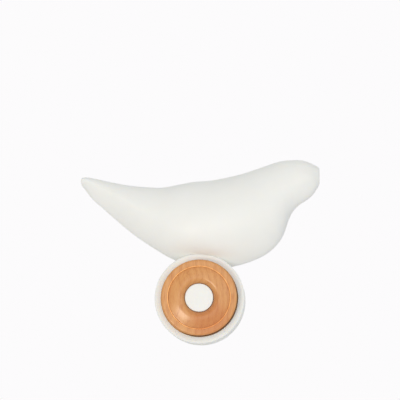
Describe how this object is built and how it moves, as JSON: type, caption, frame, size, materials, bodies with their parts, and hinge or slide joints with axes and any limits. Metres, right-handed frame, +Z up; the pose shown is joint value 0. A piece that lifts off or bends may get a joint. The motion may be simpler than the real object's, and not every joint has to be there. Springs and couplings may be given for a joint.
{
  "type": "motion decoy bird",
  "caption": "Hollow moulded bird on a round drive pod; a small motor turns a turned wooden ring on a white hub at each face, with a far-side battery door, a rocker switch and a stake socket.",
  "frame": {"origin": "centre of the stake socket's mouth, at the lowest point of the round pod", "axes": "+X towards the bird's head, +Y towards its left side, +Z up; the drive shaft lies along Y"},
  "size_m": [0.299, 0.091, 0.2301],
  "materials": {
    "shell_plastic": "satin",
    "oiled_wood": "oiled",
    "black_plastic": "fine texture",
    "bronze": "sintered",
    "felt": "felt",
    "dark_magnet": "matt",
    "pale_plastic": "satin",
    "copper_winding": "varnished",
    "brass": "machined",
    "nickel_steel": "plated",
    "spring_steel": "blackened",
    "steel": "zinc plated",
    "red_plastic": "gloss",
    "red_lead": "satin",
    "black_lead": "satin",
    "cell_wrap": "printed film, plain"
  },
  "bodies": {
    "housing": {"right_shell": "shell_plastic", "left_shell": "shell_plastic", "right_pod": "shell_plastic", "left_pod": "shell_plastic", "shell_screws": "steel", "chassis_plate": "black_plastic", "chassis_screws": "steel", "front_bush": "bronze", "rear_bush": "bronze", "front_seal": "felt", "rear_seal": "felt", "stake_socket": "shell_plastic", "motor_can": "nickel_steel", "motor_magnets": "dark_magnet", "motor_end_cap": "pale_plastic", "motor_terminals": "brass", "motor_screws": "steel", "battery_tray": "black_plastic", "battery_contacts": "nickel_steel", "tray_screws": "steel", "cell_1": "cell_wrap", "cell_2": "cell_wrap", "cell_3": "cell_wrap", "cell_4": "cell_wrap", "door_hinge_pin": "steel", "switch_body": "black_plastic", "switch_terminals": "brass", "battery_lead": "red_lead", "switch_lead": "red_lead", "motor_lead": "black_lead"},
    "rotor": {"drive_shaft": "steel", "output_gear": "pale_plastic", "gear_pin": "steel", "shaft_clips": "spring_steel", "front_hub": "shell_plastic", "rear_hub": "shell_plastic", "front_ring": "oiled_wood", "rear_ring": "oiled_wood", "front_ring_screws": "steel", "rear_ring_screws": "steel", "front_hub_screw": "steel", "rear_hub_screw": "steel", "front_hub_cap": "shell_plastic", "rear_hub_cap": "shell_plastic"},
    "motor_rotor": {"motor_shaft": "steel", "motor_armature": "copper_winding", "motor_pinion": "brass"},
    "door": {"battery_door": "shell_plastic"},
    "rocker": {"switch_rocker": "red_plastic"}
  },
  "joints": [
    {"name": "rotor_spin", "type": "hinge", "parent": "housing", "child": "rotor", "pos_m": [0, 0, 0.0555], "axis": [0, 1, 0], "continuous": true},
    {"name": "motor_spin", "type": "hinge", "parent": "housing", "child": "motor_rotor", "pos_m": [0, 0, 0.0915], "axis": [0, 1, 0], "continuous": true},
    {"name": "door_hinge", "type": "hinge", "parent": "housing", "child": "door", "pos_m": [0.019, 0.03719, 0.1869], "axis": [1, 0, 0], "range_deg": [0, 100]},
    {"name": "switch_tilt", "type": "hinge", "parent": "housing", "child": "rocker", "pos_m": [-0.038, 0.02769, 0.16107], "axis": [1, 0, 0], "range_deg": [0, 16]}
  ],
  "couplings": [
    {"joint": "motor_spin", "follows": "rotor_spin", "ratio": -4}
  ]
}
